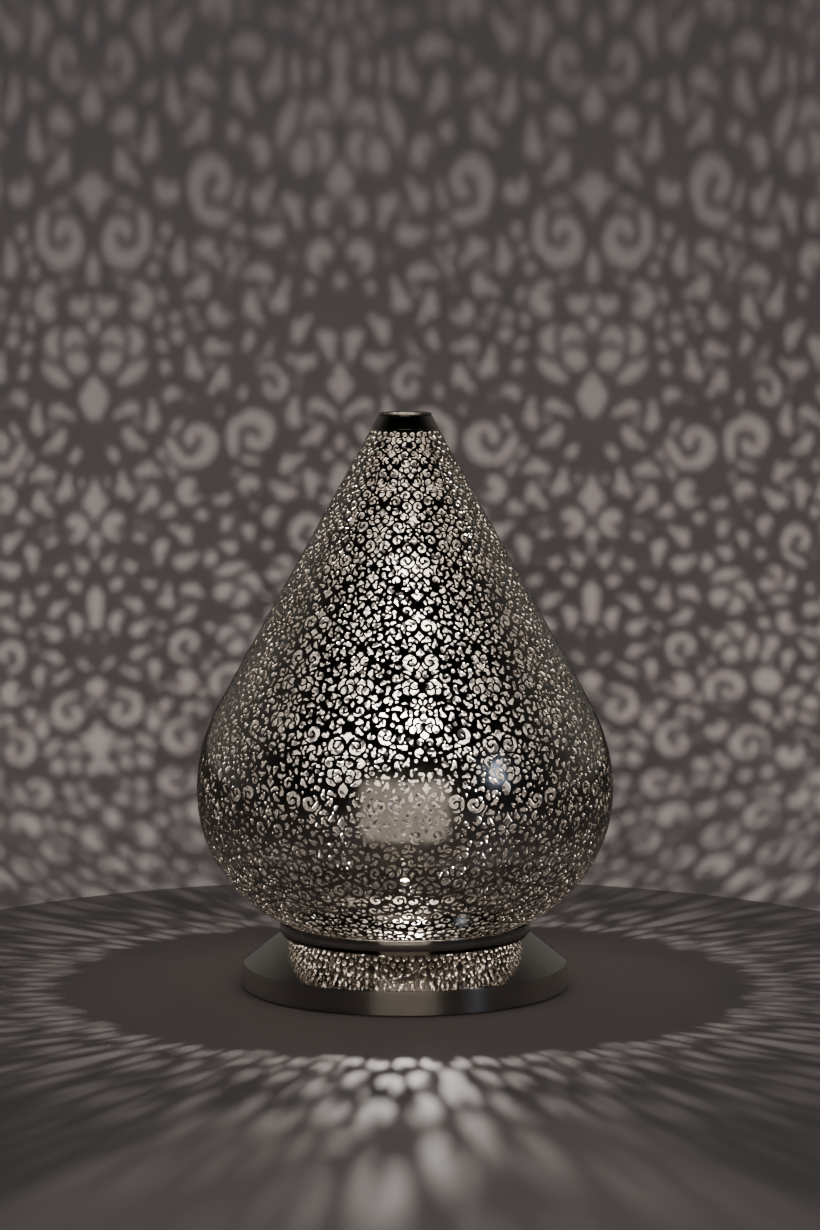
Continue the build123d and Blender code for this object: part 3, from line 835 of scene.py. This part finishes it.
def bare_metal(name, light, dark, rough_low, rough_high, grain=0.5, patch=9.0):
    """Turned or pressed metal with a plain finish: clouded tone, uneven gloss and fine grain."""
    material, tree, shader, place = start(name, Metallic=1.0)
    cloud = add(tree, "ShaderNodeTexNoise", {"Vector": place, "Scale": per_mm(patch), "Detail": 6.0})
    tone = add(tree, "ShaderNodeMix", {"Factor": cloud.outputs["Fac"], "A": linear(light), "B": linear(dark)},
               data_type="RGBA")
    tree.links.new(tone.outputs[2], shader.inputs["Base Color"])
    rough = add(tree, "ShaderNodeMapRange", {
        "Value": cloud.outputs["Fac"], "From Min": 0.3, "From Max": 0.7,
        "To Min": rough_low, "To Max": rough_high})
    tree.links.new(rough.outputs["Result"], shader.inputs["Roughness"])
    fine = add(tree, "ShaderNodeTexNoise", {"Vector": place, "Scale": per_mm(grain), "Detail": 2.0})
    bump = add(tree, "ShaderNodeBump", {"Height": fine.outputs["Fac"], "Strength": 0.25, "Distance": 0.00005})
    tree.links.new(bump.outputs["Normal"], shader.inputs["Normal"])
    return material


def moulding(name, light, dark, rough_low, rough_high, ior=1.5, grain=0.35):
    """Moulded plastic, rubber or lacquer: a slightly clouded tone and an even fine grain."""
    material, tree, shader, place = start(name, IOR=ior)
    cloud = add(tree, "ShaderNodeTexNoise", {"Vector": place, "Scale": per_mm(12), "Detail": 4.0})
    tone = add(tree, "ShaderNodeMix", {"Factor": cloud.outputs["Fac"], "A": linear(light), "B": linear(dark)},
               data_type="RGBA")
    tree.links.new(tone.outputs[2], shader.inputs["Base Color"])
    rough = add(tree, "ShaderNodeMapRange", {
        "Value": cloud.outputs["Fac"], "To Min": rough_low, "To Max": rough_high})
    tree.links.new(rough.outputs["Result"], shader.inputs["Roughness"])
    pits = add(tree, "ShaderNodeTexVoronoi", {"Vector": place, "Scale": per_mm(grain)})
    bump = add(tree, "ShaderNodeBump", {
        "Height": pits.outputs["Distance"], "Strength": 0.2, "Distance": 0.00004})
    tree.links.new(bump.outputs["Normal"], shader.inputs["Normal"])
    return material


def lamp_glass():
    # Blown soda glass: clear, with very slow ripples.
    material, tree, shader, place = start("clear_blown_glass", IOR=1.5, Transmission_Weight=1.0)
    ripple = add(tree, "ShaderNodeTexNoise", {"Vector": place, "Scale": per_mm(16), "Detail": 1.0})
    bump = add(tree, "ShaderNodeBump", {
        "Height": ripple.outputs["Fac"], "Strength": 0.05, "Distance": 0.0004})
    tree.links.new(bump.outputs["Normal"], shader.inputs["Normal"])
    rough = add(tree, "ShaderNodeMapRange", {"Value": ripple.outputs["Fac"], "To Min": 0.0, "To Max": 0.02})
    tree.links.new(rough.outputs["Result"], shader.inputs["Roughness"])
    shader.inputs["Base Color"].default_value = linear("#FBFBF8")
    return material


def glowing_tungsten():
    # A coiled tungsten wire at working heat: warm white along the coil's turns.
    material, tree, shader, place = start("glowing_tungsten", Emission_Strength=220.0, Roughness=0.6)
    coil = add(tree, "ShaderNodeTexWave", {"Vector": place, "Scale": per_mm(1.2), "Distortion": 0.5})
    tone = add(tree, "ShaderNodeMix", {
        "Factor": coil.outputs["Fac"], "A": linear("#FFE2B4"), "B": linear("#FFF1DA")}, data_type="RGBA")
    tree.links.new(tone.outputs[2], shader.inputs["Emission Color"])
    tree.links.new(tone.outputs[2], shader.inputs["Base Color"])
    return material


def dress(material, *nodes):
    """Give CAD nodes a material in every one of their slots."""
    for name in nodes:
        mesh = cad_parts[name].data
        if not mesh.materials:
            mesh.materials.append(material)
        for i in range(len(mesh.materials)):
            mesh.materials[i] = material


# ---- The object ---------------------------------------------------------------------------------
# The repeats' middle axes stand this many degrees round from the front.
MIDDLE_TURN = 5.8
RING_WALL = 1.2
LEDGE_WIDTH = 5.3
LEDGE_THICKNESS = 1.0
HOOP_WALL = 1.4
COLLAR_WALL = 1.45

long_lines()
pack_scrolls()
draw_scrolls()
for line in lines:
    line_leaves(line, 0.7)
tie_scrolls()
for height in MIDDLE_NODES:
    bud(0, height)
for height in SIDE_NODES:
    bud(1, height)

outside = plated_sheet()
trim = polished_trim()
build_shade(outside, sheet_inside())
build_foot(spun_plate())

low, high = corners("gallery_ring")
ring_bore = high[0] - RING_WALL
ledge_bore = ring_bore - LEDGE_WIDTH
ledge_top = low[2] + LEDGE_THICKNESS
turned("gallery_ring_turned", "base", "gallery_ring", "plated_trim", [
    (ledge_bore, low[2]), (high[0], low[2]), (high[0], high[2]), (ring_bore, high[2]),
    (ring_bore, ledge_top), (ledge_bore, ledge_top)], trim, corner=0.3)
low, high = corners("hem_band")
hoop_bore = high[0] - HOOP_WALL
turned("hem_hoop", "shade", "hem_band", "plated_trim", [
    (hoop_bore, low[2]), (high[0], low[2]), (high[0], high[2]), (hoop_bore, high[2])], trim, corner=0.3)
low, high = corners("crown_collar")
collar_top = high[0] - (high[2] - low[2]) * math.tan(cone_normal)
turned("crown_collar_turned", "shade", "crown_collar", "plated_trim", [
    (high[0], low[2]), (collar_top, high[2]), (collar_top - COLLAR_WALL, high[2]),
    (high[0] - COLLAR_WALL, low[2])], trim, corner=0.25)
low, high = corners("crown_bead")
bead = (high[2] - low[2]) / 2
bead_turn = [i * math.pi / 8 for i in range(16)]
turned("crown_bead_turned", "shade", "crown_bead", "plated_trim", [
    (high[0] - bead + bead * math.cos(a), low[2] + bead + bead * math.sin(a)) for a in bead_turn],
    trim, sharp=60)

dress(bare_metal("satin_nickel_sheet", "#B7B2AA", "#98938B", 0.24, 0.36), "deck_plate")
dress(bare_metal("zinc_plated_steel", "#B9BBBD", "#93969A", 0.28, 0.42), "deck_screws", "cover_screws")
dress(bare_metal("bright_turned_brass", "#D2AC62", "#B28D49", 0.18, 0.3),
      "earth_screw", "earth_nut", "terminal_screws")
dress(bare_metal("sprung_brass_strip", "#CFA960", "#A9853F", 0.25, 0.35), "centre_contact")
dress(moulding("black_lacquered_steel", "#1B1B1C", "#141415", 0.3, 0.42, grain=1.2),
      "base_cover", "cover_brackets")
dress(bare_metal("nickel_plated_shell", "#C9C8C5", "#A6A5A1", 0.22, 0.35),
      "thread_shell", "lamp_cap", "lead_wires")
dress(bare_metal("tin_solder", "#C9CACB", "#9C9EA0", 0.3, 0.5, grain=0.9), "lamp_contact")
dress(moulding("moulded_rubber", "#1C1B1A", "#262422", 0.7, 0.85, ior=1.52), "rubber_feet")
dress(moulding("black_nylon", "#17171A", "#222226", 0.38, 0.5, ior=1.53), "inlet_bush", "inlet_nut")
dress(moulding("ivory_thermoset", "#EDECE8", "#DDDAD2", 0.16, 0.28, ior=1.55), "holder_cap", "holder_body",
      "upper_ring_nut", "lower_ring_nut")
dress(moulding("glazed_steatite", "#D9D2C2", "#C8C0AE", 0.2, 0.34, ior=1.55), "contact_block")
dress(moulding("black_lamp_glass", "#0B0B0D", "#141417", 0.08, 0.16, ior=1.52), "lamp_insulator")
glass = lamp_glass()
dress(glass, "lamp_glass", "lamp_stem")
dress(glowing_tungsten(), "filament")
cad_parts["lamp_glass"].visible_shadow = False
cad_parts["lamp_stem"].visible_shadow = False
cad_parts["filament"].visible_shadow = False

# ---- The studio ---------------------------------------------------------------------------------
scene = bpy.context.scene


def lamp(name, kind, energy, place, **settings):
    data = bpy.data.lights.new(name, kind)
    data.energy = energy
    for key, value in settings.items():
        setattr(data, key, value)
    light = bpy.data.objects.new(name, data)
    light.location = place
    scene.collection.objects.link(light)
    return light


def aim(thing, at):
    thing.rotation_euler = (Vector(at) - thing.location).to_track_quat("-Z", "Y").to_euler()


def backdrop(name, colour, cloud_colour, rough):
    material, tree, shader, place = start(name, Roughness=rough, Specular_IOR_Level=0.12)
    cloud = add(tree, "ShaderNodeTexNoise", {"Vector": place, "Scale": per_mm(90), "Detail": 3.0})
    tone = add(tree, "ShaderNodeMix", {
        "Factor": cloud.outputs["Fac"], "A": linear(colour), "B": linear(cloud_colour)}, data_type="RGBA")
    tree.links.new(tone.outputs[2], shader.inputs["Base Color"])
    return material


def stage_piece(bm, name, material):
    mesh = bpy.data.meshes.new(name)
    bm.to_mesh(mesh)
    bm.free()
    mesh.polygons.foreach_set("use_smooth", [True] * len(mesh.polygons))
    thing = bpy.data.objects.new(name, mesh)
    scene.collection.objects.link(thing)
    thing.data.materials.append(material)
    return thing


FLOOR_RADIUS = 9.0
WALL_RADIUS = 0.6
WALL_SWEEP = 0.16
WALL_HEIGHT = 1.5
# The sweep leaves the floor steeper than a view from the front looks down.
SWEEP_START = 0.30
WALL_LIFT = 0.0005

# Pale floor, and a pale round backdrop of which only the inside is seen, and only directly, so
# it never stands between the camera and the object and casts and reflects nothing.
bm = bmesh.new()
bmesh.ops.create_circle(bm, cap_ends=True, segments=96, radius=FLOOR_RADIUS)
stage_piece(bm, "floor", backdrop("pale_floor", "#A9A2A2", "#A39C9C", 0.62))

bm = bmesh.new()
sweep = [
    (WALL_RADIUS - WALL_SWEEP + WALL_SWEEP * math.sin(a),
     WALL_SWEEP * (math.cos(SWEEP_START) - math.cos(a)) + WALL_LIFT)
    for a in np.linspace(SWEEP_START, math.pi / 2, 13)
] + [(WALL_RADIUS, WALL_HEIGHT)]
line = [bm.verts.new((r, 0, z)) for r, z in sweep]
for a, b in zip(line[:-1], line[1:]):
    bm.edges.new((a, b))
bmesh.ops.spin(
    bm, geom=bm.verts[:] + bm.edges[:], axis=(0, 0, 1), cent=(0, 0, 0), angle=2 * math.pi, steps=96,
    use_merge=True,
)
bm.faces.ensure_lookup_table()
if bm.faces[0].normal.dot(bm.faces[0].calc_center_median()) > 0:
    bmesh.ops.reverse_faces(bm, faces=bm.faces[:])
wall_paint = backdrop("pale_wall", "#CFC7C7", "#C9C1C1", 0.9)
tree = wall_paint.node_tree
facing = add(tree, "ShaderNodeNewGeometry").outputs["Backfacing"]
shown = add(tree, "ShaderNodeMixShader", {0: facing, 1: tree.nodes["Principled BSDF"].outputs[0],
                                          2: add(tree, "ShaderNodeBsdfTransparent").outputs[0]})
tree.links.new(shown.outputs[0], tree.nodes["Material Output"].inputs["Surface"])
wall = stage_piece(bm, "round_backdrop", wall_paint)
wall.visible_glossy = False
wall.visible_diffuse = False
wall.visible_transmission = False
wall.visible_shadow = False

lamp_low, lamp_high = corners("filament")
bulb = lamp("bulb_glow", "POINT", 6.0, (0, 0, (lamp_low[2] + lamp_high[2]) / 2 * MM), color=(1.0, 0.92, 0.87),
            shadow_soft_size=0.002)
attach(bulb, "lamp_core")

overhead = lamp("overhead_softbox", "AREA", 2.6, (0.0, 0.9, 2.6), shape="DISK", size=1.8,
                color=(1.0, 0.97, 0.94))
aim(overhead, (0, 0, 0.1))
side = lamp("side_softbox", "AREA", 0.9, (1.9, -1.5, 0.9), shape="RECTANGLE", size=0.35, size_y=0.5,
            color=(0.62, 0.74, 1.0))
aim(side, (0, 0, 0.17))
# A fill from the front for the floor and the wall, kept out of the metal's reflections.
fill = lamp("front_fill", "AREA", 11.0, (0.0, -3.2, 1.3), shape="DISK", size=2.2, color=(1.0, 0.97, 0.97))
aim(fill, (0, 0.4, 0.5))
fill.visible_glossy = False

# A low softbox in front: a sheet by the floor that widens away from the foot and turns up.
SOFTBOX_LIFT = 0.012
SOFTBOX_RISE = 0.50
bm = bmesh.new()
rows = [
    ((-0.15, -0.45, SOFTBOX_LIFT), (0.15, -0.45, SOFTBOX_LIFT)),
    ((-0.50, -1.25, SOFTBOX_LIFT), (0.50, -1.25, SOFTBOX_LIFT)),
]
near_edge, far_edge = [bm.edges.new([bm.verts.new(p) for p in row]) for row in rows]
bmesh.ops.bridge_loops(bm, edges=[near_edge, far_edge])
rise = bmesh.ops.extrude_edge_only(bm, edges=[far_edge])
risen = [v for v in rise["geom"] if isinstance(v, bmesh.types.BMVert)]
bmesh.ops.translate(bm, verts=risen, vec=(0, -0.02, SOFTBOX_RISE))
glow = bpy.data.materials.new("low_softbox_glow")
glow.use_nodes = True
shader = glow.node_tree.nodes["Principled BSDF"]
shader.inputs["Base Color"].default_value = (0, 0, 0, 1)
shader.inputs["Emission Color"].default_value = linear("#FFF3E6")
shader.inputs["Emission Strength"].default_value = 0.6
softbox = stage_piece(bm, "low_softbox", glow)
softbox.visible_camera = False
softbox.visible_diffuse = False
softbox.visible_shadow = False
softbox.visible_transmission = False

# A dim room, lighter behind the object at the height of the wall and dark over the camera.
world = bpy.data.worlds.new("dim_room")
world.use_nodes = True
tree = world.node_tree
way_out = add(tree, "ShaderNodeSeparateXYZ", {"Vector": add(tree, "ShaderNodeTexCoord").outputs["Generated"]})
behind = add(tree, "ShaderNodeMapRange", {"Value": way_out.outputs["Y"], "From Min": -0.35, "From Max": 0.75,
                                          "To Min": 0.010, "To Max": 0.13}, interpolation_type="SMOOTHSTEP")
above = add(tree, "ShaderNodeMapRange", {"Value": way_out.outputs["Z"], "From Min": 0.25, "From Max": 0.95,
                                         "To Min": 1.0, "To Max": 0.25}, interpolation_type="SMOOTHSTEP")
level = add(tree, "ShaderNodeMath", {0: behind.outputs["Result"], 1: above.outputs["Result"]},
            operation="MULTIPLY")
room = tree.nodes["Background"]
room.inputs["Color"].default_value = linear("#F2ECE6")
tree.links.new(level.outputs["Value"], room.inputs["Strength"])
scene.world = world

camera_data = bpy.data.cameras.new("camera")
camera_data.lens = 127.3
camera_data.sensor_width = 36.0
camera_data.clip_end = 60.0
camera = bpy.data.objects.new("camera", camera_data)
camera.location = (0.004, -3.438, 0.684)
camera.rotation_euler = (math.radians(90 - 6.4), 0, 0)
scene.collection.objects.link(camera)
scene.camera = camera
